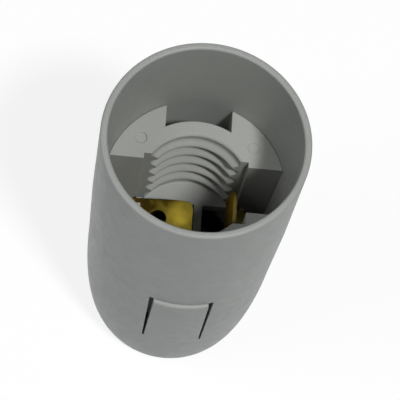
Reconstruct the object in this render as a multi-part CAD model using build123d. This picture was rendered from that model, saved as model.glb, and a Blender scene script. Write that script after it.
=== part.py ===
from build123d import *
import math
import os

# A small plastic lamp holder for a candle lamp with an E14 cap.
# A plain moulded shell with a domed lower end holds a threaded core with two brass contacts.
# Sizes are in millimetres. The base stands on Z = 0, the mouth opens upward, the front faces -Y.

# Shell
shell_length = 57.0
shell_radius = 13.1
rim_wall = 0.95
rim_lip = 0.3  # flat left at the top, outside the mouth's bevel
rim_bevel = 0.8  # height of the bevel inside the mouth
rim_chamfer = 0.12
skirt_height = 38.3  # above this the outside of the skirt is a plain cylinder
waist_height = 22.8  # the dome starts below this
waist_radius = 12.8
base_radius = 10.1
seat_wall = 1.25  # wall beside the top of the core
dome_wall = 1.6
floor_wall = 1.9
dome_steps = 6  # straight steps that round the inside of the dome
rib_thickness = 1.3
rib_depth = 1.5

# Snap tongues in the shell's front and back walls
tongue_root = 18.0
tongue_top = 33.8
tongue_width = 7.8  # between the centre lines of its two slits
slit_at_top = 0.6
slit_at_root = 0.25
tongue_end_gap = 0.3
tongue_proud = 0.45
hook_height = 1.6
hook_reach = 1.4
root_overlap = 0.8
root_inset = 0.15

# Core
core_top = 41.75
core_base = 19.6
core_clearance = 0.1
core_edge_chamfer = 0.2
collar_radius = 9.0
notch_width = 8.7
side_gap_width = 6.3
side_gap_floor = 28.0
socket_floor = 25.6
recess_reach = 6.85  # out to here the gap is wider, beside the ends of the thread
recess_width = 8.7
recess_offset = -0.45  # toward the front
floor_thickness = 1.6
floor_opening_width = 7.5  # two openings in the floor leave a bar beside the leaf's tip
floor_bar_start = 1.25
floor_bar_end = 2.4
hook_clearance = 0.2
pocket_wall = 1.1
pocket_roof = 1.8
pin_mark_radius = 0.75
pin_mark_inset = 2.25  # from the blocks' outer face to the mark's middle
pin_mark_angle = 39  # from the middle of the side gap
pin_mark_depth = 0.15
terminal_room = 3.1  # from the bore at the waist in to the flat that each contact lies on
post_length = 8.9
post_depth = 2.0

# Lamp thread, right-handed
thread_root_radius = 7.0
thread_depth = 0.75
thread_pitch = 2.822
thread_turns = 4.4
thread_start = 27.7
ridge_sink = 0.2  # how far the ridge is let into the socket's wall
ridge_base_width = 2.4
ridge_waist_width = 1.44  # half way up the ridge
ridge_crest_width = 0.6

# Brass contacts
strip_thickness = 0.5
strip_bend = 0.8
centre_strip_width = 5.6
side_strip_width = 4.9
strip_end = 0.9  # the leaf passes the axis by this much
strip_corner = 0.9
leaf_run = 1.85  # the leaf lies on its post this far before it rises
leaf_rise = 0.55
leaf_hole_radius = 1.2
leaf_hole_distance = 3.85
side_strip_top = 35.5
side_strip_touch = 5.1  # from the axis to the face that touches the lamp
side_strip_lean = 0.65

# Terminal screws and their clamp washers
screw_radius = 1.25
screw_clearance = 0.05
screw_height = 14.5
screw_tip = 0.4  # the tip stands this far out of its post
head_radius = 2.2
head_height = 1.0
slot_width = 0.6
slot_depth = 0.5
clamp_size = 5.2
clamp_thickness = 0.6
clamp_corner = 0.6
relief_radius = 1.7

# Threaded entry in the base
entry_radius = 4.5  # tapped M10 x 1
bush_radius = 6.0
bush_length = 8.0
bush_recess = 0.4
bush_flange_flats = 12.6
bush_flange_height = 1.5
bush_clearance = 0.1
boss_radius = 8.2

seat_bore = shell_radius - seat_wall
waist_bore = waist_radius - dome_wall
floor_bore = base_radius - dome_wall
flange_seat = bush_recess + bush_length - bush_flange_height
boss_top = bush_recess + bush_length
hook_under = tongue_top - hook_height
catch_top = hook_under - hook_clearance
terminal_flat = waist_bore - terminal_room
core_height = core_top - core_base
post_foot = core_base - post_length
post_face = terminal_flat - post_depth
far = 2 * shell_length


def ellipse_share(height, lowest):
    """Share of the dome's flare that is left at a height between its lowest point and the waist."""
    drop = (waist_height - height) / (waist_height - lowest)
    return math.sqrt(max(0.0, 1 - drop * drop))


def outer_radius(height):
    """Outside radius of the shell at a height."""
    if height >= skirt_height:
        return shell_radius
    if height >= waist_height:
        share = (height - waist_height) / (skirt_height - waist_height)
        return waist_radius + share * (shell_radius - waist_radius)
    return base_radius + (waist_radius - base_radius) * ellipse_share(height, 0)


def bore_radius(height):
    """Inside radius of the shell at a height, up to the top of the core."""
    if height >= waist_height:
        share = (height - waist_height) / (core_top - waist_height)
        return waist_bore + share * (seat_bore - waist_bore)
    return floor_bore + (waist_bore - floor_bore) * ellipse_share(height, floor_wall)


def turned(*edges):
    """Solid of revolution about Z of an outline drawn in the XZ plane."""
    return revolve(Plane.XZ * make_face(edges), Axis.Z)


def block(x_size, y_size, z_size, x, y, z):
    """Box centred on X and Y that stands on z."""
    return Pos(x, y, z) * Box(x_size, y_size, z_size, align=(Align.CENTER, Align.CENTER, Align.MIN))


def tapered_slab(root_width, top_width, bottom, top):
    """Slab in front of the axis whose width changes evenly from bottom to top."""
    outline = Polyline(
        (-root_width / 2, bottom),
        (root_width / 2, bottom),
        (top_width / 2, top),
        (-top_width / 2, top),
        close=True,
    )
    return extrude(Plane.XZ * make_face(outline), far)


def outside_form():
    """Full outside of the shell."""
    dome = EllipticalCenterArc(
        (base_radius, waist_height),
        waist_radius - base_radius,
        waist_height,
        start_angle=270,
        arc_size=90,
    )
    return turned(
        Line((0, 0), (base_radius, 0)),
        dome,
        Polyline(
            (waist_radius, waist_height),
            (shell_radius, skirt_height),
            (shell_radius, shell_length),
            (0, shell_length),
            (0, 0),
        ),
    )


def inside_form():
    """Full hollow of the shell, from its floor to its mouth."""
    dome = []
    for step in range(dome_steps + 1):
        angle = math.radians(90) * step / dome_steps
        radius = floor_bore + (waist_bore - floor_bore) * math.sin(angle)
        dome.append((radius, waist_height - (waist_height - floor_wall) * math.cos(angle)))
    return turned(
        Polyline(
            (0, floor_wall),
            *dome,
            (seat_bore, core_top),
            (shell_radius - rim_wall, shell_length - rim_bevel),
            (shell_radius - rim_lip, shell_length),
            (0, shell_length),
            close=True,
        )
    )


def tongue():
    """Front snap tongue: it leans out toward its free end and carries a hook inside."""
    inner_top = bore_radius(tongue_top) + tongue_proud
    hook_tip = bore_radius(hook_under) - hook_reach
    section = turned(
        Polyline(
            (outer_radius(tongue_root) - root_inset, tongue_root - root_overlap),
            (outer_radius(tongue_root), tongue_root),
            (outer_radius(tongue_top) + tongue_proud, tongue_top),
            (inner_top, tongue_top),
            (hook_tip, hook_under + hook_height / 3),
            (hook_tip, hook_under),
            (bore_radius(hook_under) + tongue_proud, hook_under),
            (bore_radius(tongue_root) + root_inset, tongue_root),
            (bore_radius(tongue_root) + root_inset, tongue_root - root_overlap),
            close=True,
        )
    )
    return section & tapered_slab(
        tongue_width - slit_at_root,
        tongue_width - slit_at_top,
        tongue_root - root_overlap,
        tongue_top,
    )


def shell():
    """One moulded cup with snap tongues, ribs that carry the core and a boss for the entry bush."""
    outside = outside_form()
    body = outside - inside_form()
    rims = body.edges().filter_by(GeomType.CIRCLE).group_by(Axis.Z)[-1]
    body = chamfer(rims.sort_by(SortBy.RADIUS)[-1], rim_chamfer)
    window = tapered_slab(
        tongue_width + slit_at_root,
        tongue_width + slit_at_top,
        tongue_root,
        tongue_top + tongue_end_gap,
    )
    for turn in (0, 180):
        body = body - Rot(0, 0, turn) * window
        body = body + Rot(0, 0, turn) * tongue()
    rib_start = bore_radius(core_base) - rib_depth
    rib = block(far, rib_thickness, core_base, rib_start + far / 2, 0, 0) & outside
    for turn in (45, 135, 225, 315):
        body = body + Rot(0, 0, turn) * rib
    body = body + Cylinder(boss_radius, boss_top, align=(Align.CENTER, Align.CENTER, Align.MIN))
    body = body - Cylinder(bush_radius + bush_clearance, far)
    seat = RegularPolygon(bush_flange_flats / 2 + bush_clearance, 6, major_radius=False)
    return body - extrude(Pos(0, 0, flange_seat) * seat, bush_length)


def thread_ridge():
    """Helical ridge of the lamp thread, standing inward from the socket's wall."""
    path = Helix(thread_pitch, thread_turns * thread_pitch, thread_root_radius)
    outline = Polyline(
        (-ridge_sink, -ridge_base_width / 2),
        (-ridge_sink, ridge_base_width / 2),
        (thread_depth / 2, ridge_waist_width / 2),
        (thread_depth, ridge_crest_width / 2),
        (thread_depth, -ridge_crest_width / 2),
        (thread_depth / 2, -ridge_waist_width / 2),
        close=True,
    )
    section = Plane(path @ 0, x_dir=(-1, 0, 0), z_dir=path % 0) * make_face(outline)
    return Pos(0, 0, thread_start) * sweep(section, path, is_frenet=True)


def core_blank():
    """Turned outline of the core before it is cut, with its upper edge broken."""
    blank = turned(
        Polyline(
            (0, core_base),
            (bore_radius(core_base) - core_clearance, core_base),
            (waist_bore - core_clearance, waist_height),
            (seat_bore - core_clearance, core_top),
            (0, core_top),
            close=True,
        )
    )
    top_edge = blank.edges().filter_by(GeomType.CIRCLE).sort_by(Axis.Z)[-1]
    return chamfer(top_edge, core_edge_chamfer)


def block_pocket():
    """Hollow moulded into the underside of the block between the front notch and the right gap."""
    ring = Circle(bore_radius(core_base) - core_clearance - pocket_wall)
    ring = ring - Circle(thread_root_radius + ridge_sink + pocket_wall)
    recess_edge = recess_width / 2 + abs(recess_offset)
    corner = Pos(notch_width / 2 + pocket_wall, recess_edge + pocket_wall)
    quarter = ring & corner * Rectangle(far, far, align=Align.MIN)
    return extrude(Pos(0, 0, core_base) * quarter, core_height - pocket_roof)


def core():
    """One moulded insert: threaded collar, four centring blocks, floor and two terminal posts."""
    body = core_blank()
    notch = block(notch_width, far, far, 0, 0, catch_top)
    body = body - (notch - Cylinder(collar_radius, 2 * far))
    body = body - Pos(0, 0, socket_floor) * Cylinder(
        thread_root_radius, far, align=(Align.CENTER, Align.CENTER, Align.MIN)
    )
    body = body - Pos(0, 0, socket_floor - floor_thickness) * Cylinder(
        thread_root_radius, far, align=(Align.CENTER, Align.CENTER, Align.MAX)
    )
    body = body + thread_ridge()
    body = body - block(far, side_gap_width, far, 0, 0, side_gap_floor)
    body = body - block(2 * recess_reach, recess_width, far, 0, recess_offset, socket_floor)
    for start, end in ((-post_face, floor_bar_start), (floor_bar_end, post_face)):
        body = body - block(end - start, floor_opening_width, far, (start + end) / 2, 0, 0)
    mark_distance = seat_bore - core_clearance - pin_mark_inset
    mark_x = mark_distance * math.cos(math.radians(pin_mark_angle))
    mark_y = mark_distance * math.sin(math.radians(pin_mark_angle))
    for side in (1, -1):
        outer_flat = side * (terminal_flat + far / 2)
        body = body - block(far, side_gap_width, far, outer_flat, 0, 0)
        post_middle = side * (terminal_flat - post_depth / 2)
        body = body + block(
            post_depth, side_gap_width, side_gap_floor - post_foot, post_middle, 0, post_foot
        )
        relief = Pos(side * terminal_flat, 0, screw_height) * Rot(0, 90, 0)
        body = body - relief * Cylinder(relief_radius, 2 * post_depth)
        for end in (1, -1):
            pocket = block_pocket()
            if side < 0:
                pocket = mirror(pocket, Plane.YZ)
            if end < 0:
                pocket = mirror(pocket, Plane.XZ)
            body = body - pocket
            mark = Cylinder(pin_mark_radius, 2 * pin_mark_depth)
            body = body - Pos(side * mark_x, end * mark_y, core_top) * mark
    gap_edges = body.edges().filter_by(Axis.Y).filter_by_position(
        Axis.Z, side_gap_floor - strip_thickness, side_gap_floor + strip_thickness
    )
    return fillet(gap_edges.group_by(SortBy.DISTANCE)[-1], strip_bend)


def bent_strip(points, width, bend):
    """Strip of brass bent along a line in the XZ plane, centred on Y."""
    line = FilletPolyline(*points, radius=bend)
    section = Plane.XZ * trace(line, strip_thickness)
    return extrude(section, width / 2, both=True)


def tapped_hole(x):
    """Cutter for the screw's hole through a contact's lower end."""
    return Pos(x, 0, screw_height) * Rot(0, 90, 0) * Cylinder(
        screw_radius + screw_clearance, 4 * strip_thickness
    )


def centre_contact():
    """Brass leaf across the socket, raised where it meets the lamp, with its terminal on the left."""
    tab = -terminal_flat - strip_thickness / 2
    level = side_gap_floor + strip_thickness / 2
    leaf = bent_strip(
        [
            (tab, post_foot),
            (tab, level),
            (leaf_run - terminal_flat, level),
            (-2 * strip_end, level + leaf_rise),
            (strip_end, level + leaf_rise / 2),
        ],
        centre_strip_width,
        strip_bend,
    )
    tip_corners = leaf.edges().filter_by_position(
        Axis.X, strip_end - strip_thickness, strip_end + strip_thickness
    ).filter_by(Axis.Y, reverse=True).group_by(SortBy.LENGTH)[0]
    leaf = fillet(tip_corners, strip_corner)
    hole = Pos(-leaf_hole_distance, 0, level) * Cylinder(leaf_hole_radius, 8 * strip_thickness)
    return leaf - hole - tapped_hole(tab)


def side_contact():
    """Brass strip that stands in the right gap, bowed toward the lamp, with its terminal below."""
    tab = terminal_flat + strip_thickness / 2
    level = side_gap_floor + strip_thickness / 2
    touch = side_strip_touch + strip_thickness / 2
    foot = touch + side_strip_lean
    strip = bent_strip(
        [
            (tab, post_foot),
            (tab, level),
            (foot, level),
            (touch, (level + side_strip_top) / 2),
            (foot, side_strip_top),
        ],
        side_strip_width,
        min(strip_bend, (tab - foot) / 2),
    )
    return strip - tapped_hole(tab)


def wire_clamp(side):
    """Square clamp washer that lies on the contact under the screw's head."""
    plate = RectangleRounded(clamp_size, clamp_size, clamp_corner)
    plate = plate - Circle(screw_radius + 2 * screw_clearance)
    plate = extrude(plate, clamp_thickness)
    washer = Pos(terminal_flat + strip_thickness, 0, screw_height) * Rot(0, 90, 0) * plate
    return washer if side > 0 else Rot(0, 0, 180) * washer


def terminal_screw(side):
    """Slotted screw that runs through the clamp and the contact into the post's relief hole."""
    grip = post_depth + strip_thickness + clamp_thickness + screw_tip
    low = (Align.CENTER, Align.CENTER, Align.MIN)
    screw = Cylinder(screw_radius, grip, align=low)
    screw = screw + Pos(0, 0, grip) * Cylinder(head_radius, head_height, align=low)
    screw = screw - block(slot_width, far, far, 0, 0, grip + head_height - slot_depth)
    start = post_face - screw_tip
    screw = Pos(start, 0, screw_height) * Rot(0, 90, 0) * screw
    return screw if side > 0 else Rot(0, 0, 180) * screw


def entry_bush():
    """Steel bush with a hexagonal flange that seats in the boss, tapped for the carrying nipple."""
    low = (Align.CENTER, Align.CENTER, Align.MIN)
    bush = Pos(0, 0, bush_recess) * Cylinder(bush_radius, bush_length, align=low)
    flange = extrude(RegularPolygon(bush_flange_flats / 2, 6, major_radius=False), bush_flange_height)
    bush = bush + Pos(0, 0, flange_seat) * flange
    return bush - Cylinder(entry_radius, far)


nodes = {
    "shell": shell(),
    "core": core(),
    "centre_contact": centre_contact(),
    "side_contact": side_contact(),
    "centre_wire_clamp": wire_clamp(-1),
    "side_wire_clamp": wire_clamp(1),
    "centre_terminal_screw": terminal_screw(-1),
    "side_terminal_screw": terminal_screw(1),
    "entry_bush": entry_bush(),
}

os.makedirs("parts", exist_ok=True)
for name, solid in nodes.items():
    export_step(solid, f"parts/{name}.step")
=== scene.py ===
import math

import bmesh
import bpy
from mathutils import Matrix, Vector


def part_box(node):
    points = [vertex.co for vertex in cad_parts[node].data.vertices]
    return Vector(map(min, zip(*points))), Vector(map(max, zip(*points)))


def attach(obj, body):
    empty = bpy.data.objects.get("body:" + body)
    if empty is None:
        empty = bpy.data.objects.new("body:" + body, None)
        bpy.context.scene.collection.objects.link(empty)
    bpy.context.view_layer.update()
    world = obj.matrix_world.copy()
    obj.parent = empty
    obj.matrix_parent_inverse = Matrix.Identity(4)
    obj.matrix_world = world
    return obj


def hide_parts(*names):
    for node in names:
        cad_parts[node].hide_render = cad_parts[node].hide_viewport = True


# Plastic holder for a small screw lamp, standing on its base with the mouth up.

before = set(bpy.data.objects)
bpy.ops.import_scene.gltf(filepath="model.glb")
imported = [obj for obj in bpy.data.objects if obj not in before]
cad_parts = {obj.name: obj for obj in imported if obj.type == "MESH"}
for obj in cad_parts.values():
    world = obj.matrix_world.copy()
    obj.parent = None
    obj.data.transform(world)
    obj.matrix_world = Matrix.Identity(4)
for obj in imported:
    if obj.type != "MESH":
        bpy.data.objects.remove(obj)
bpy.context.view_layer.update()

# Meshes are drawn in millimetres and become metres when they are finished.
MM = 0.001
SAME_POINT = 1e-6  # points of a new mesh that lie this near each other are one point
MERGE = 0.0004  # points of a finished piece that lie this near each other become one
SHARP_ANGLE = 28  # edges that turn by more degrees than this stay sharp
CUT_OVERLAP = 1.0  # how far a cutter runs past the face that it opens
ROUND_STEPS = 6  # steps in a small rounded edge
BEND_STEPS = 8  # steps in each bend of a contact
HOLE_STEPS = 32
HEX_SIDES = 6

# Camera: the photograph's view of the standing holder
PHOTO_WIDTH = 400  # pixels
SENSOR = 36.0
CAMERA_AIM = (1.14, -0.21, 37.29)
CAMERA_DISTANCE = 263.1
CAMERA_ELEVATION = 67.68
CAMERA_AZIMUTH = -10.67
CAMERA_ROLL = 15.21
CAMERA_FOCUS = 2000.0  # focal length in pixels of the photograph
CAMERA_NEAR = 0.01
CAMERA_FAR = 20.0

# Light and floor, in metres and watts
WHITE = (1.0, 1.0, 1.0, 1.0)
FILL_TINT = (0.92, 0.97, 1.0, 1.0)
WORLD_FILL = 0.1
KEY_PLACE = (0.26, -0.37, 0.965)
KEY_SIZE = 0.11
KEY_POWER = 8.2
FILL_PLACE = (-0.55, -0.15, 0.75)
FILL_SIZE = 0.5
FILL_POWER = 2.3
FLOOR_TINT = (0.38, 0.4, 0.43, 1.0)  # how the floor lights the holder
FLOOR_GLOW = 0.84  # share of plain white in the floor that is seen
FLOOR_RADIUS = 2.0
FLOOR_STEPS = 64

# Colours and finish
# The shell's plastic is the core's darkened by a tenth: painted shade that holds its outer walls down
# against the light from the floor and the white surroundings.
SHADED_SHELL_PALE = (0.317, 0.326, 0.309)
SHADED_SHELL_DEEP = (0.295, 0.304, 0.287)
CORE_PALE = (0.354, 0.363, 0.342)
CORE_DEEP = (0.33, 0.338, 0.319)
PLASTIC_GLOSS = 0.2  # the fine texture of the mould dulls the plastic
PLASTIC_IOR = 1.5
# Leaf brass: the tarnished end is also painted shade, the bright end also a painted glint of the key lamp.
LEAF_TARNISH_AND_SHADE = (0.06, 0.04, 0.006)
LEAF_CLEAN_AND_GLINT = (0.68, 0.52, 0.065)
# Side strip brass: both ends darkened as painted shade on the strip's face.
SHADED_STRIP_TARNISH = (0.09, 0.07, 0.02)
SHADED_STRIP_CLEAN = (0.34, 0.26, 0.07)
BRASS_EDGE = (0.7, 0.52, 0.12, 1.0)  # what the brass mirrors at a glancing angle
ROLLING_STRETCH = (14.0, 1.0, 1.0)  # draws the grain of the brass out into lines
SPOT_CORE = 0.6  # the brass is brightest this near its spot: worn by the lamp, and on the leaf also a painted glint
SPOT_REACH = 3.0  # it is darkest this far away: tarnished, and on the leaf also painted shade
SPOT_AT_CORE = 0.4
SPOT_AT_REACH = -0.45
DARK_STOP = 0.0
BRIGHT_STOP = 0.8
STEEL_PALE = (0.62, 0.62, 0.6)
STEEL_DEEP = (0.38, 0.38, 0.37)
BLACKENED_PALE = (0.11, 0.11, 0.112)
BLACKENED_DEEP = (0.05, 0.05, 0.052)
NOISE_LOW = 0.3  # most of a noise texture lies between these two
NOISE_HIGH = 0.7
BEVEL_SAMPLES = 6


def node_box(name):
    """Lowest and highest corner of a node in millimetres."""
    low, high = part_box(name)
    return low / MM, high / MM


shell_high = node_box("shell")[1]
core_low, core_high = node_box("core")
leaf_low, leaf_high = node_box("centre_contact")
strip_low, strip_high = node_box("side_contact")
bush_low, bush_high = node_box("entry_bush")

# Shell
SHELL_STEPS = 240
DOME_STEPS = 40
RIB_STEPS = 8
RIB_ANGLES = (45, 135, 225, 315)
shell_length = shell_high.z
shell_radius = shell_high.x
rim_wall = 0.95
rim_round = 0.35
skirt_height = 38.3
waist_height = 22.8
waist_radius = 12.8
base_radius = 10.1
seat_wall = 1.25
dome_wall = 1.6
floor_wall = 1.9
rib_thickness = 1.3
rib_depth = 1.5
rib_foot = 3.0
boss_radius = 8.2

# Snap tongues
tongue_root = 14.4
tongue_top = 31.35
tongue_width = 7.9
tongue_proud = 0.45
tongue_edge = 0.45
tongue_end_gap = 0.3
slit_at_top = 0.6
slit_at_root = 0.25
root_overlap = 0.8
root_inset = 0.15
hook_height = 1.6
hook_tip = hook_height / 3
hook_reach = 1.4
hook_clearance = 0.2

# Core
CORE_STEPS = 180
POCKET_STEPS = 12
NOTCH_STEPS = 25
core_top = core_high.z
core_base = 19.6
core_clearance = 0.03
core_edge_round = 0.12
collar_radius = 9.0
notch_width = 8.7
gap_width = 6.3
gap_floor = 28.0
socket_floor = 25.6
pocket_wall = 1.1
pocket_roof = 1.8
pocket_inner_radius = 8.3
pin_mark_radius = 0.75
pin_mark_distance = 9.5
pin_mark_angle = 39
pin_mark_depth = 0.15
terminal_flat = 8.1
post_depth = 2.0
relief_radius = 1.7
screw_height = 14.5
recess_reach = 6.85
recess_width = 8.7
recess_offset = -0.45
floor_thickness = 1.6
floor_opening_width = 7.5
floor_bar_start = 1.25
floor_bar_end = 2.4
bend_break = 0.8

# Lamp thread
THREAD_RINGS = 24  # rings of points in each turn
thread_root_radius = 7.0
thread_depth = 0.75
thread_sharpness = 1.7  # above 1 the ridges are narrower than the grooves
thread_pitch = 2.822
thread_turns = 4.4
thread_start = 27.7
socket_edge = 0.22

# Contacts
STRIP_STEP = 0.25
STRIP_COLUMNS = 26
LEAF_HOLE_STEPS = 48
strip_thickness = 0.5
strip_bend = 0.8
strip_corner = 0.9
leaf_rise = 0.55
leaf_bend = 10.0
leaf_end = 0.9
leaf_hole_radius = 1.2
leaf_hole_distance = 3.85
leaf_dome_height = 0.15
leaf_dome_spread = 1.1
leaf_dome_place = -0.3
# Offset of the leaf's bright spot: worn by the lamp, and also a painted glint of the key lamp.
leaf_spot_offset = 0.3
side_strip_touch = 5.1
side_strip_lean = 0.65
tapped_radius = 1.3

# Entry bush
BUSH_STEPS = 120
BUSH_RINGS = 12  # rings of points in each turn of its thread
BUSH_OVERLAP = 0.01
bush_radius = 6.0
bush_edge = 0.3
bush_clearance = 0.1
bush_flange_flats = 12.6
bush_flange_height = 1.5
bush_bore = 4.5
bush_thread_depth = 0.5
bush_thread_pitch = 1.0
bush_lead = 0.6

far = 2 * shell_length
seat_bore = shell_radius - seat_wall
waist_bore = waist_radius - dome_wall
floor_bore = base_radius - dome_wall
hook_under = tongue_top - hook_height
catch_top = hook_under - hook_clearance
post_face = terminal_flat - post_depth


def outer_radius(height):
    """Outside radius of the shell at a height."""
    if height >= skirt_height:
        return shell_radius
    if height >= waist_height:
        share = (height - waist_height) / (skirt_height - waist_height)
        return waist_radius + share * (shell_radius - waist_radius)
    drop = (waist_height - height) / waist_height
    return base_radius + (waist_radius - base_radius) * math.sqrt(max(0.0, 1 - drop * drop))


def bore_radius(height):
    """Inside radius of the shell at a height, up to the top of the core."""
    if height >= waist_height:
        share = (height - waist_height) / (core_top - waist_height)
        return waist_bore + share * (seat_bore - waist_bore)
    drop = (waist_height - height) / (waist_height - floor_wall)
    return floor_bore + (waist_bore - floor_bore) * math.sqrt(max(0.0, 1 - drop * drop))


# Mesh tools

def add_object(name, data):
    """New object in the scene."""
    item = bpy.data.objects.new(name, data)
    bpy.context.scene.collection.objects.link(item)
    return item


def make_piece(name, points, faces):
    """Object from points in millimetres, with its faces turned outward."""
    mesh = bpy.data.meshes.new(name)
    mesh.from_pydata([tuple(point) for point in points], [], faces)
    work = bmesh.new()
    work.from_mesh(mesh)
    bmesh.ops.remove_doubles(work, verts=work.verts, dist=SAME_POINT)
    bmesh.ops.recalc_face_normals(work, faces=work.faces)
    work.to_mesh(mesh)
    work.free()
    return add_object(name, mesh)


def arc(centre, radius, start, end, steps):
    """Points of a circular arc, angles in degrees."""
    points = []
    for step in range(steps + 1):
        angle = math.radians(start + (end - start) * step / steps)
        points.append((centre[0] + radius * math.cos(angle), centre[1] + radius * math.sin(angle)))
    return points


def lathe(name, outline, steps):
    """Closed solid turned about Z from an outline of (radius, height) points."""
    points = []
    rings = []
    for radius, height in outline:
        ring = []
        for step in range(steps):
            if radius > 0 or step == 0:
                angle = math.tau * step / steps
                points.append((radius * math.cos(angle), radius * math.sin(angle), height))
            ring.append(len(points) - 1)
        rings.append(ring)
    faces = []
    for ring, next_ring in zip(rings, rings[1:] + rings[:1]):
        for step in range(steps):
            after = (step + 1) % steps
            corners = [ring[step], ring[after], next_ring[after], next_ring[step]]
            face = list(dict.fromkeys(corners))
            if len(face) > 2:
                faces.append(face)
    return make_piece(name, points, faces)


def prism(name, outline, low, high, upright=True):
    """Straight solid from an outline: drawn in XY and raised along Z, or in XZ and drawn out along Y."""
    count = len(outline)
    points = []
    for level in (low, high):
        for a, b in outline:
            points.append((a, b, level) if upright else (a, level, b))
    faces = [list(range(count)), list(range(count, 2 * count))]
    for row in range(count):
        after = (row + 1) % count
        faces.append([row, after, count + after, count + row])
    return make_piece(name, points, faces)


def block(name, low, high):
    """Box between two corners."""
    outline = [(low[0], low[1]), (high[0], low[1]), (high[0], high[1]), (low[0], high[1])]
    return prism(name, outline, low[2], high[2])


def rod(name, radius, low, high, steps, x=0, y=0):
    """Cylinder along Z."""
    outline = [(x + a, y + b) for a, b in arc((0, 0), radius, 0, 360, steps)[:-1]]
    return prism(name, outline, low, high)


def hexagon(name, flats, low, high):
    """Six-sided bar along Z, measured across its flats."""
    return rod(name, flats / 2 / math.cos(math.pi / HEX_SIDES), low, high, HEX_SIDES)


def turn(piece, matrix):
    """Moves a piece's own points, so that the object stays at the origin."""
    piece.data.transform(matrix)
    if matrix.determinant() < 0:
        piece.data.flip_normals()
    return piece


def together(name, pieces):
    """One object from several that don't overlap."""
    work = bmesh.new()
    for piece in pieces:
        work.from_mesh(piece.data)
        bpy.data.objects.remove(piece)
    mesh = bpy.data.meshes.new(name)
    work.to_mesh(mesh)
    work.free()
    return add_object(name, mesh)


def combine(piece, tool, operation):
    """Joins a tool to a piece, or cuts or crops the piece with it."""
    modifier = piece.modifiers.new("combine", "BOOLEAN")
    modifier.object = tool
    modifier.operation = operation
    modifier.solver = "EXACT"
    shaped = piece.evaluated_get(bpy.context.evaluated_depsgraph_get())
    mesh = bpy.data.meshes.new_from_object(shaped)
    piece.modifiers.clear()
    piece.data = mesh
    bpy.data.objects.remove(tool)
    return piece


def settle(piece, node, material):
    """Brings a finished piece to metres, shades it and lets it stand for its node."""
    work = bmesh.new()
    work.from_mesh(piece.data)
    bmesh.ops.remove_doubles(work, verts=work.verts, dist=MERGE)
    work.to_mesh(piece.data)
    work.free()
    piece.data.transform(Matrix.Scale(MM, 4))
    for polygon in piece.data.polygons:
        polygon.use_smooth = True
    piece.data.set_sharp_from_angle(angle=math.radians(SHARP_ANGLE))
    piece.data.materials.clear()
    piece.data.materials.append(material)
    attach(piece, "root")
    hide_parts(node)


# Materials

def add_node(tree, kind, values):
    """New shader node with the values of its inputs set by name."""
    node = tree.nodes.new(kind)
    for name, value in values.items():
        node.inputs[name].default_value = value
    return node


def empty_material(name):
    """New material with its tree and the socket that takes its surface."""
    material = bpy.data.materials.new(name)
    material.use_nodes = True
    tree = material.node_tree
    tree.nodes.clear()
    output = tree.nodes.new("ShaderNodeOutputMaterial")
    return material, tree, output.inputs["Surface"]


def fresh_material(name):
    """New material with its tree, its shader and the object's own coordinates."""
    material, tree, output = empty_material(name)
    shader = tree.nodes.new("ShaderNodeBsdfPrincipled")
    tree.links.new(shader.outputs["BSDF"], output)
    place = tree.nodes.new("ShaderNodeTexCoord")
    return material, tree, shader, place.outputs["Object"]


def noise(tree, place, scale, detail=3.0, roughness=0.5):
    """Noise texture in the object's coordinates."""
    values = {"Scale": scale, "Detail": detail, "Roughness": roughness}
    texture = add_node(tree, "ShaderNodeTexNoise", values)
    tree.links.new(place, texture.inputs["Vector"])
    return texture.outputs["Fac"]


def ramp(tree, factor, stops):
    """Colour ramp through (position, colour) stops."""
    node = tree.nodes.new("ShaderNodeValToRGB")
    while len(node.color_ramp.elements) < len(stops):
        node.color_ramp.elements.new(0.5)
    for element, (position, colour) in zip(node.color_ramp.elements, stops):
        element.position = position
        element.color = (*colour, 1.0)
    tree.links.new(factor, node.inputs["Fac"])
    return node.outputs["Color"]


def spread(tree, factor, low, high):
    """Maps a noise value to a range."""
    values = {"From Min": NOISE_LOW, "From Max": NOISE_HIGH, "To Min": low, "To Max": high}
    node = add_node(tree, "ShaderNodeMapRange", values)
    tree.links.new(factor, node.inputs["Value"])
    return node.outputs["Result"]


def surface(tree, shader, bumps, edge):
    """Rounds sharp edges and adds (height, strength, depth) bumps; edge and depth are in millimetres."""
    bevel = add_node(tree, "ShaderNodeBevel", {"Radius": edge * MM})
    bevel.samples = BEVEL_SAMPLES
    normal = bevel.outputs["Normal"]
    for height, strength, depth in bumps:
        bump = add_node(tree, "ShaderNodeBump", {"Strength": strength, "Distance": depth * MM})
        tree.links.new(height, bump.inputs["Height"])
        tree.links.new(normal, bump.inputs["Normal"])
        normal = bump.outputs["Normal"]
    tree.links.new(normal, shader.inputs["Normal"])


def moulded_plastic(name, pale, deep):
    """Satin moulded plastic: faint clouding, a fine eroded texture and slow ripples."""
    material, tree, shader, place = fresh_material(name)
    clouds = noise(tree, place, scale=140.0, detail=4.0)
    grain = noise(tree, place, scale=5200.0, detail=2.0)
    ripple = noise(tree, place, scale=260.0, detail=1.0)
    sheen = noise(tree, place, scale=700.0, detail=3.0)
    tint = ramp(tree, clouds, [(NOISE_LOW, deep), (NOISE_HIGH, pale)])
    tree.links.new(tint, shader.inputs["Base Color"])
    tree.links.new(spread(tree, sheen, low=0.36, high=0.48), shader.inputs["Roughness"])
    surface(tree, shader, [(grain, 0.1, 0.03), (ripple, 0.012, 0.08)], edge=0.16)
    shader.inputs["IOR"].default_value = PLASTIC_IOR
    shader.inputs["Specular IOR Level"].default_value = PLASTIC_GLOSS
    return material


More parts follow.
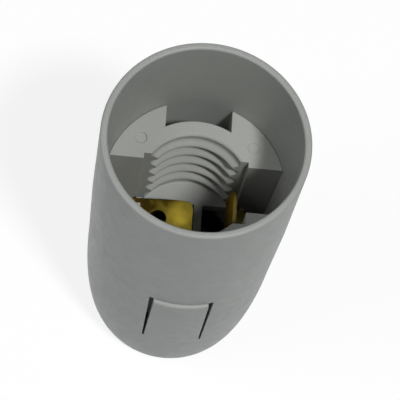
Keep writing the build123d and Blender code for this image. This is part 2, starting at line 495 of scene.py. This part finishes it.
def rolled_brass(name, dark_end, bright_end, spot):
    """Rolled brass strip, tarnished brown, and brighter around a spot: worn cleaner where the lamp rubs it,
    and on the leaf also a painted glint; its given colours also hold painted shade.
    """
    material, tree, shader, place = fresh_material(name)
    stretch = add_node(tree, "ShaderNodeMapping", {"Scale": ROLLING_STRETCH})
    tree.links.new(place, stretch.inputs["Vector"])
    lines = noise(tree, stretch.outputs["Vector"], scale=300.0, detail=4.0, roughness=0.6)
    patches = noise(tree, place, scale=450.0, detail=4.0)
    distance = tree.nodes.new("ShaderNodeVectorMath")
    distance.operation = "DISTANCE"
    distance.inputs[1].default_value = Vector(spot) * MM
    tree.links.new(place, distance.inputs[0])
    values = {
        "From Min": SPOT_CORE * MM,
        "From Max": SPOT_REACH * MM,
        "To Min": SPOT_AT_CORE,
        "To Max": SPOT_AT_REACH,
    }
    spot_falloff = add_node(tree, "ShaderNodeMapRange", values)
    tree.links.new(distance.outputs["Value"], spot_falloff.inputs["Value"])
    spot_and_patches = tree.nodes.new("ShaderNodeMath")
    tree.links.new(patches, spot_and_patches.inputs[0])
    tree.links.new(spot_falloff.outputs["Result"], spot_and_patches.inputs[1])
    tint = ramp(tree, spot_and_patches.outputs["Value"], [(DARK_STOP, dark_end), (BRIGHT_STOP, bright_end)])
    tree.links.new(tint, shader.inputs["Base Color"])
    tree.links.new(spread(tree, patches, low=0.58, high=0.46), shader.inputs["Roughness"])
    surface(tree, shader, [(lines, 0.12, 0.02)], edge=0.1)
    shader.inputs["Metallic"].default_value = 1.0
    shader.inputs["Specular Tint"].default_value = BRASS_EDGE
    return material


def plated_steel(name, pale, deep):
    """Plated steel, a little clouded."""
    material, tree, shader, place = fresh_material(name)
    patches = noise(tree, place, scale=600.0, detail=5.0, roughness=0.6)
    grain = noise(tree, place, scale=6000.0, detail=2.0)
    tint = ramp(tree, patches, [(NOISE_LOW, deep), (NOISE_HIGH, pale)])
    tree.links.new(tint, shader.inputs["Base Color"])
    tree.links.new(spread(tree, patches, low=0.48, high=0.3), shader.inputs["Roughness"])
    surface(tree, shader, [(grain, 0.12, 0.01)], edge=0.12)
    shader.inputs["Metallic"].default_value = 1.0
    return material


# Pieces

def tapered_slab(name, root_width, top_width, bottom, top):
    """Slab in front of the axis whose width changes evenly from bottom to top."""
    outline = [
        (-root_width / 2, bottom),
        (root_width / 2, bottom),
        (top_width / 2, top),
        (-top_width / 2, top),
    ]
    return prism(name, outline, -far, 0, upright=False)


def shell_outline():
    """Section of the shell's wall, from the middle of the base out, up and back down inside."""
    outline = [(0, 0)]
    for step in range(DOME_STEPS + 1):
        angle = math.radians(90) * step / DOME_STEPS
        radius = base_radius + (waist_radius - base_radius) * math.sin(angle)
        outline.append((radius, waist_height * (1 - math.cos(angle))))
    outline.append((shell_radius, skirt_height))
    mouth = shell_radius - rim_wall
    round_height = shell_length - rim_round
    outline += arc((shell_radius - rim_round, round_height), rim_round, 0, 90, ROUND_STEPS)
    outline += arc((mouth + rim_round, round_height), rim_round, 90, 180, ROUND_STEPS)
    outline.append((seat_bore, core_top))
    for step in range(DOME_STEPS + 1):
        angle = math.radians(90) * step / DOME_STEPS
        radius = floor_bore + (waist_bore - floor_bore) * math.cos(angle)
        outline.append((radius, waist_height - (waist_height - floor_wall) * math.sin(angle)))
    outline.append((0, floor_wall))
    return outline


def tongue():
    """Front snap tongue with its hook."""
    tip = bore_radius(hook_under) - hook_reach
    top_outside = outer_radius(tongue_top) + tongue_proud
    section = [
        (outer_radius(tongue_root) - root_inset, tongue_root - root_overlap),
        (outer_radius(tongue_root), tongue_root),
        *arc((top_outside - tongue_edge, tongue_top - tongue_edge), tongue_edge, 0, 90, ROUND_STEPS),
        (bore_radius(tongue_top) + tongue_proud, tongue_top),
        (tip, hook_under + hook_tip),
        (tip, hook_under),
        (bore_radius(hook_under) + tongue_proud, hook_under),
        (bore_radius(tongue_root) + root_inset, tongue_root),
        (bore_radius(tongue_root) + root_inset, tongue_root - root_overlap),
    ]
    slab = tapered_slab(
        "slab",
        tongue_width - slit_at_root,
        tongue_width - slit_at_top,
        tongue_root - root_overlap,
        tongue_top,
    )
    return combine(lathe("tongue", section, SHELL_STEPS), slab, "INTERSECT")


def rib():
    """Upright rib inside the dome that the core's blocks stand on."""
    start = bore_radius(core_base) - rib_depth
    outline = [(start, rib_foot)]
    for step in range(RIB_STEPS + 1):
        height = rib_foot + (core_base - rib_foot) * step / RIB_STEPS
        outline.append(((outer_radius(height) + bore_radius(height)) / 2, height))
    outline.append((start, core_base))
    return prism("rib", outline, -rib_thickness / 2, rib_thickness / 2, upright=False)


def build_shell(material):
    """Moulded shell with its tongues, ribs and boss."""
    piece = lathe("shell_moulding", shell_outline(), SHELL_STEPS)
    windows = []
    added = []
    for angle in (0, 180):
        window = tapered_slab(
            "window",
            tongue_width + slit_at_root,
            tongue_width + slit_at_top,
            tongue_root,
            tongue_top + tongue_end_gap,
        )
        about = Matrix.Rotation(math.radians(angle), 4, "Z")
        windows.append(turn(window, about))
        added.append(turn(tongue(), about))
    for angle in RIB_ANGLES:
        added.append(turn(rib(), Matrix.Rotation(math.radians(angle), 4, "Z")))
    added.append(rod("boss", boss_radius, floor_wall / 2, bush_high.z, SHELL_STEPS // 2))
    combine(piece, together("windows", windows), "DIFFERENCE")
    combine(piece, together("added", added), "UNION")
    entry = rod("entry", bush_radius + bush_clearance, -CUT_OVERLAP, far, SHELL_STEPS // 2)
    combine(piece, entry, "DIFFERENCE")
    seat_flats = bush_flange_flats + 2 * bush_clearance
    combine(piece, hexagon("seat", seat_flats, bush_high.z - bush_flange_height, far), "DIFFERENCE")
    settle(piece, "shell", material)


def threaded_plug(name, radius_at, low, high, spacing, steps):
    """Closed plug whose radius follows a function of angle and height."""
    rings = max(2, round((high - low) / spacing))
    points = []
    faces = []
    for ring in range(rings + 1):
        height = low + (high - low) * ring / rings
        for step in range(steps):
            angle = math.tau * step / steps
            radius = radius_at(angle, height)
            points.append((radius * math.cos(angle), radius * math.sin(angle), height))
    for ring in range(rings):
        for step in range(steps):
            after = (step + 1) % steps
            here = ring * steps
            faces.append([here + step, here + after, here + steps + after, here + steps + step])
    faces.append(list(range(steps)))
    faces.append(list(range(rings * steps, (rings + 1) * steps)))
    return make_piece(name, points, faces)


def socket_radius(angle, height):
    """Radius of the lamp socket: a rounded right-hand ridge that stands inward from the wall."""
    turns = angle / math.tau
    phase = (height - thread_start) / thread_pitch - turns
    ridge = round(phase)
    radius = thread_root_radius
    if 0 <= turns + ridge <= thread_turns:
        radius -= thread_depth * (0.5 + 0.5 * math.cos(math.tau * phase)) ** thread_sharpness
    return radius + max(0.0, height - core_top + socket_edge)


def sector_pocket():
    """Hollow in the underside of the right-hand back block."""
    outer = bore_radius(core_base) - core_clearance - pocket_wall
    left = notch_width / 2 + pocket_wall
    front = recess_width / 2 + abs(recess_offset) + pocket_wall

    def sweep(radius):
        return math.degrees(math.asin(front / radius)), math.degrees(math.acos(left / radius))

    first, last = sweep(outer)
    outline = arc((0, 0), outer, first, last, POCKET_STEPS)
    first, last = sweep(pocket_inner_radius)
    outline += arc((0, 0), pocket_inner_radius, last, first, POCKET_STEPS)
    return prism("pocket", outline, core_base - CUT_OVERLAP, core_top - pocket_roof)


def notch():
    """Cutter for the back notch between the collar and the shell's wall."""
    reach = math.degrees(math.acos(notch_width / 2 / collar_radius))
    outline = arc((0, 0), collar_radius, 180 - reach, reach, NOTCH_STEPS)
    outline += [(notch_width / 2, shell_radius), (-notch_width / 2, shell_radius)]
    return prism("notch", outline, catch_top, far)


def pin_mark():
    """Mark of the ejector pin on the right-hand back block."""
    angle = math.radians(pin_mark_angle)
    x = pin_mark_distance * math.cos(angle)
    y = pin_mark_distance * math.sin(angle)
    return rod("mark", pin_mark_radius, core_top - pin_mark_depth, far, HOLE_STEPS, x, y)


def terminal_cutter():
    """Cutter for the flat behind the right-hand terminal, with a broken edge where the contact bends."""
    outline = [
        (terminal_flat, 0),
        (far, 0),
        (far, gap_floor + CUT_OVERLAP),
        (terminal_flat - bend_break, gap_floor + CUT_OVERLAP),
        (terminal_flat - bend_break, gap_floor),
        (terminal_flat, gap_floor - bend_break),
    ]
    return prism("flat", outline, -gap_width / 2, gap_width / 2, upright=False)


def terminal_post():
    """Post that carries the right-hand terminal."""
    low = (post_face, -gap_width / 2, core_low.z)
    return block("post", low, (terminal_flat, gap_width / 2, gap_floor))


def cross_rod(name, radius, reach, x):
    """Cylinder along X at the height of the terminal screws."""
    piece = rod(name, radius, -reach, reach, HOLE_STEPS)
    turn(piece, Matrix.Rotation(math.radians(90), 4, "Y"))
    return turn(piece, Matrix.Translation((x, 0, screw_height)))


def core_blank():
    """Turned blank that fills the shell's bore between the ribs and the mouth."""
    top_radius = seat_bore - core_clearance
    rounded = (top_radius - core_edge_round, core_top - core_edge_round)
    outline = [
        (0, core_base),
        (bore_radius(core_base) - core_clearance, core_base),
        (waist_bore - core_clearance, waist_height),
        *arc(rounded, core_edge_round, 0, 90, ROUND_STEPS),
        (0, core_top),
    ]
    return lathe("core_moulding", outline, CORE_STEPS)


def cut_socket(piece):
    """Cuts the threaded socket into the core from above and the well under its floor."""
    spacing = thread_pitch / THREAD_RINGS
    high = core_top + socket_edge
    plug = threaded_plug("plug", socket_radius, socket_floor, high, spacing, CORE_STEPS)
    combine(piece, plug, "DIFFERENCE")
    well = rod("well", thread_root_radius, 0, socket_floor - floor_thickness, CORE_STEPS)
    combine(piece, well, "DIFFERENCE")


def cut_gaps(piece):
    """Cuts the side gaps for the contacts and the wider recess beside the ends of the thread."""
    gap = block("gap", (-far, -gap_width / 2, gap_floor), (far, gap_width / 2, far))
    combine(piece, gap, "DIFFERENCE")
    recess = block(
        "recess",
        (-recess_reach, recess_offset - recess_width / 2, socket_floor),
        (recess_reach, recess_offset + recess_width / 2, far),
    )
    combine(piece, recess, "DIFFERENCE")


def cut_openings(piece):
    """Cuts the two openings in the socket's floor, on either side of the bar."""
    openings = []
    for begin, end in ((-post_face, floor_bar_start), (floor_bar_end, post_face)):
        low = (begin, -floor_opening_width / 2, core_base - CUT_OVERLAP)
        high = (end, floor_opening_width / 2, socket_floor + CUT_OVERLAP)
        openings.append(block("opening", low, high))
    combine(piece, together("openings", openings), "DIFFERENCE")


def build_core(material):
    """Threaded insert with its blocks, notches, gaps, floor and terminal posts."""
    piece = core_blank()
    cut_socket(piece)
    cutters = [notch(), turn(notch(), Matrix.Rotation(math.pi, 4, "Z"))]
    flats = []
    posts = []
    reliefs = []
    for side in (1, -1):
        mirror = Matrix.Scale(side, 4, (1, 0, 0))
        for end in (1, -1):
            place = mirror @ Matrix.Scale(end, 4, (0, 1, 0))
            cutters.append(turn(sector_pocket(), place))
            cutters.append(turn(pin_mark(), place))
        flats.append(turn(terminal_cutter(), mirror))
        posts.append(turn(terminal_post(), mirror))
        reliefs.append(cross_rod("relief", relief_radius, 2 * post_depth, side * terminal_flat))
    combine(piece, together("cutters", cutters), "DIFFERENCE")
    cut_gaps(piece)
    combine(piece, together("posts", posts), "UNION")
    combine(piece, together("flats", flats), "DIFFERENCE")
    combine(piece, together("reliefs", reliefs), "DIFFERENCE")
    cut_openings(piece)
    settle(piece, "core", material)


def rounded_path(corners, radii):
    """Line through corner points with its corners rounded and its runs split into short steps."""
    corners = [Vector(corner) for corner in corners]
    points = [corners[0]]
    for before, corner, after, radius in zip(corners, corners[1:], corners[2:], radii):
        incoming = (corner - before).normalized()
        outgoing = (after - corner).normalized()
        bend = incoming.angle(outgoing)
        cut = radius * math.tan(bend / 2)
        start = corner - incoming * cut
        end = corner + outgoing * cut
        for step in range(BEND_STEPS + 1):
            share = step / BEND_STEPS
            points.append(start.lerp(corner, share).lerp(corner.lerp(end, share), share))
    points.append(corners[-1])
    line = [points[0]]
    for here, there in zip(points, points[1:]):
        splits = max(1, round((there - here).length / STRIP_STEP))
        for split in range(splits):
            line.append(here.lerp(there, (split + 1) / splits))
    return line


def bent_strip(name, corners, bends, half_width, raise_at):
    """Strip bent along a line in XZ, with rounded corners at its far end and a raised spot."""
    line = rounded_path(corners, bends)
    to_end = [0.0]
    for here, there in zip(reversed(line), reversed(line[:-1])):
        to_end.append(to_end[-1] + (there - here).length)
    to_end.reverse()
    sides = ([], [])
    for index, point in enumerate(line):
        ahead = line[min(index + 1, len(line) - 1)]
        behind = line[max(index - 1, 0)]
        along = (ahead - behind).normalized()
        across = Vector((-along.y, along.x)) * strip_thickness / 2
        width = half_width
        if to_end[index] < strip_corner:
            short = strip_corner - to_end[index]
            width -= strip_corner - math.sqrt(strip_corner ** 2 - short ** 2)
        for side, sign in zip(sides, (1, -1)):
            row = []
            for column in range(STRIP_COLUMNS + 1):
                y = width * (2 * column / STRIP_COLUMNS - 1)
                x, z = point + across * sign
                row.append((x, y, z + raise_at(x, y)))
            side.append(row)
    points = [point for side in sides for row in side for point in row]
    rows = len(line)
    columns = STRIP_COLUMNS + 1
    below = rows * columns
    faces = []
    for row in range(rows - 1):
        for column in range(STRIP_COLUMNS):
            a = row * columns + column
            faces.append([a, a + 1, a + columns + 1, a + columns])
            faces.append([below + a, below + a + columns, below + a + columns + 1, below + a + 1])
        for a in (row * columns, row * columns + STRIP_COLUMNS):
            faces.append([a, a + columns, below + a + columns, below + a])
    for column in range(STRIP_COLUMNS):
        for a in (column, (rows - 1) * columns + column):
            faces.append([a, a + 1, below + a + 1, below + a])
    return make_piece(name, points, faces)


def screw_hole(x):
    """Cutter for the screw's hole through a contact's lower end."""
    return cross_rod("hole", tapped_radius, 2 * strip_thickness, x)


def build_centre_contact(material):
    """Brass leaf with its hole and its raised contact spot."""
    tab = -terminal_flat - strip_thickness / 2
    level = gap_floor + strip_thickness / 2

    def raised(x, y):
        distance = math.hypot(x - leaf_dome_place, y)
        return leaf_dome_height * math.exp(-0.5 * (distance / leaf_dome_spread) ** 2)

    corners = [
        (tab, leaf_low.z),
        (tab, level),
        (-(thread_root_radius - thread_depth), level),
        (-2 * leaf_end, level + leaf_rise),
        (leaf_end, level + leaf_rise / 2),
    ]
    bends = (strip_bend, leaf_bend, leaf_bend)
    piece = bent_strip("centre_contact_leaf", corners, bends, leaf_high.y, raised)
    low = gap_floor - CUT_OVERLAP
    high = gap_floor + 2 * CUT_OVERLAP
    hole = rod("hole", leaf_hole_radius, low, high, LEAF_HOLE_STEPS, x=-leaf_hole_distance)
    combine(piece, together("holes", [hole, screw_hole(tab)]), "DIFFERENCE")
    settle(piece, "centre_contact", material)


def build_side_contact(material):
    """Brass strip that bows toward the lamp."""
    tab = terminal_flat + strip_thickness / 2
    level = gap_floor + strip_thickness / 2
    touch = side_strip_touch + strip_thickness / 2
    top = strip_high.z
    corners = [
        (tab, strip_low.z),
        (tab, level),
        (touch + side_strip_lean, level),
        (touch, (level + top) / 2),
        (touch + side_strip_lean, top),
    ]
    bends = (strip_bend, strip_bend, strip_bend)
    piece = bent_strip("side_contact_strip", corners, bends, strip_high.y, lambda x, y: 0.0)
    combine(piece, screw_hole(tab), "DIFFERENCE")
    settle(piece, "side_contact", material)


def bush_thread_radius(angle, height):
    """Radius of the tapped bore: a sharp thread that cuts into the bush's wall, with a lead at each end."""
    phase = height / bush_thread_pitch - angle / math.tau
    wave = 2 * abs(phase - round(phase))
    lead = max(0.0, bush_low.z + bush_lead - height, height - bush_high.z + bush_lead)
    return max(bush_bore + bush_thread_depth * wave, min(bush_bore + bush_thread_depth, bush_bore + lead))


def build_bush(material):
    """Steel bush with a hexagonal flange and a cut thread."""
    outline = [
        (0, bush_low.z),
        (bush_radius - bush_edge, bush_low.z),
        (bush_radius, bush_low.z + bush_edge),
        (bush_radius, bush_high.z - bush_flange_height / 2),
        (0, bush_high.z - bush_flange_height / 2),
    ]
    piece = lathe("entry_bush_turned", outline, BUSH_STEPS)
    flange = hexagon("flange", bush_flange_flats, bush_high.z - bush_flange_height, bush_high.z)
    combine(piece, flange, "UNION")
    plug = threaded_plug(
        "plug",
        bush_thread_radius,
        bush_low.z - BUSH_OVERLAP,
        bush_high.z + BUSH_OVERLAP,
        bush_thread_pitch / BUSH_RINGS,
        BUSH_STEPS,
    )
    combine(piece, plug, "DIFFERENCE")
    settle(piece, "entry_bush", material)


# Stage

def seeing_ray(tree):
    """One for rays that show the ground, straight from the camera or by way of a mirror or glass."""
    path = tree.nodes.new("ShaderNodeLightPath").outputs
    seeing = path["Is Camera Ray"]
    for kind in ("Is Glossy Ray", "Is Transmission Ray"):
        either = tree.nodes.new("ShaderNodeMath")
        either.operation = "MAXIMUM"
        tree.links.new(seeing, either.inputs[0])
        tree.links.new(path[kind], either.inputs[1])
        seeing = either.outputs["Value"]
    return seeing


def ground_shader(tree, lighting, seen):
    """Shader that lights the holder in one way and looks another way where it is seen."""
    mix = tree.nodes.new("ShaderNodeMixShader")
    tree.links.new(seeing_ray(tree), mix.inputs["Fac"])
    tree.links.new(lighting, mix.inputs[1])
    tree.links.new(seen, mix.inputs[2])
    return mix.outputs["Shader"]


def floor_material(name):
    """New floor material with its tree, the socket for its surface and a plain matt shader."""
    material, tree, output = empty_material(name)
    plain = add_node(tree, "ShaderNodeBsdfDiffuse", {"Color": FLOOR_TINT})
    return material, tree, output, plain.outputs["BSDF"]


def build_stage():
    """Wide pale floor: white around the holder, where it takes the shadow, and plain under the entry."""
    circle = arc((0, 0), 1, 0, 360, FLOOR_STEPS)[:-1]
    under_entry = base_radius * MM / 2
    points = []
    for radius in (under_entry, FLOOR_RADIUS):
        points += [(x * radius, y * radius, 0) for x, y in circle]
    faces = [list(range(FLOOR_STEPS))]
    for step in range(FLOOR_STEPS):
        after = (step + 1) % FLOOR_STEPS
        faces.append([step, FLOOR_STEPS + step, FLOOR_STEPS + after, after])
    mesh = bpy.data.meshes.new("floor")
    mesh.from_pydata(points, [], faces)
    floor = add_object("floor", mesh)
    shaded, tree, output, plain = floor_material("shaded_floor")
    tree.links.new(plain, output)
    material, tree, output, plain = floor_material("pale_floor")
    pale = add_node(tree, "ShaderNodeBsdfDiffuse", {"Color": WHITE})
    glow = add_node(tree, "ShaderNodeEmission", {"Color": WHITE, "Strength": 1.0})
    seen = add_node(tree, "ShaderNodeMixShader", {"Fac": FLOOR_GLOW})
    tree.links.new(pale.outputs["BSDF"], seen.inputs[1])
    tree.links.new(glow.outputs["Emission"], seen.inputs[2])
    tree.links.new(ground_shader(tree, plain, seen.outputs["Shader"]), output)
    mesh.materials.append(material)
    mesh.materials.append(shaded)
    mesh.polygons[0].material_index = 1


def area_light(name, place, target, size, power):
    """Soft square lamp that faces a point, in metres and watts."""
    data = bpy.data.lights.new(name, "AREA")
    data.shape = "SQUARE"
    data.size = size
    data.energy = power
    lamp = add_object(name, data)
    lamp.location = place
    lamp.rotation_euler = (Vector(target) - Vector(place)).to_track_quat("-Z", "Y").to_euler()


def build_light():
    """Even surrounding light, a lamp above to the right and a broad weak one to the left."""
    world = bpy.data.worlds.new("studio")
    bpy.context.scene.world = world
    world.use_nodes = True
    tree = world.node_tree
    tree.nodes.clear()
    output = tree.nodes.new("ShaderNodeOutputWorld")
    fill = add_node(tree, "ShaderNodeBackground", {"Color": FILL_TINT, "Strength": WORLD_FILL})
    white = add_node(tree, "ShaderNodeBackground", {"Color": WHITE, "Strength": 1.0})
    surroundings = ground_shader(tree, fill.outputs["Background"], white.outputs["Background"])
    tree.links.new(surroundings, output.inputs["Surface"])
    target = (0, 0, core_top * MM)
    area_light("key", KEY_PLACE, target, KEY_SIZE, KEY_POWER)
    area_light("fill", FILL_PLACE, target, FILL_SIZE, FILL_POWER)


def build_camera():
    """Camera at the photograph's place, rolled as the photograph is."""
    data = bpy.data.cameras.new("camera")
    data.sensor_width = SENSOR
    data.lens = CAMERA_FOCUS / PHOTO_WIDTH * SENSOR
    data.clip_start = CAMERA_NEAR
    data.clip_end = CAMERA_FAR
    camera = add_object("camera", data)
    elevation = math.radians(CAMERA_ELEVATION)
    azimuth = math.radians(CAMERA_AZIMUTH)
    back = Vector(
        (
            math.sin(azimuth) * math.cos(elevation),
            -math.cos(azimuth) * math.cos(elevation),
            math.sin(elevation),
        )
    )
    place = (Vector(CAMERA_AIM) + back * CAMERA_DISTANCE) * MM
    level = (-back).to_track_quat("-Z", "Y").to_matrix().to_4x4()
    roll = Matrix.Rotation(math.radians(CAMERA_ROLL), 4, "Z")
    camera.matrix_world = Matrix.Translation(place) @ level @ roll
    bpy.context.scene.camera = camera


# The shell's plastic takes the darkened tones: painted shade.
shell_plastic = moulded_plastic("shell_plastic", SHADED_SHELL_PALE, SHADED_SHELL_DEEP)
core_plastic = moulded_plastic("core_plastic", CORE_PALE, CORE_DEEP)
# The leaf's bright spot is worn brass and also a painted glint of the key lamp.
leaf_spot = (leaf_dome_place, leaf_spot_offset, gap_floor + leaf_rise)
strip_spot = (side_strip_touch, 0.0, strip_high.z)
leaf_brass = rolled_brass("leaf_brass", LEAF_TARNISH_AND_SHADE, LEAF_CLEAN_AND_GLINT, leaf_spot)
# The side strip's brass takes the darkened colours: painted shade.
shaded_strip_brass = rolled_brass("shaded_strip_brass", SHADED_STRIP_TARNISH, SHADED_STRIP_CLEAN, strip_spot)
steel = plated_steel("plated_steel", STEEL_PALE, STEEL_DEEP)
dark_steel = plated_steel("blackened_steel", BLACKENED_PALE, BLACKENED_DEEP)

build_shell(shell_plastic)
build_core(core_plastic)
build_centre_contact(leaf_brass)
build_side_contact(shaded_strip_brass)
build_bush(dark_steel)

# The clamps and the terminal screws show their own solids.
for name in ("centre_wire_clamp", "side_wire_clamp", "centre_terminal_screw", "side_terminal_screw"):
    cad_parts[name].data.materials.clear()
    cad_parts[name].data.materials.append(steel)

build_stage()
build_light()
build_camera()
bpy.context.scene.view_settings.view_transform = "Standard"
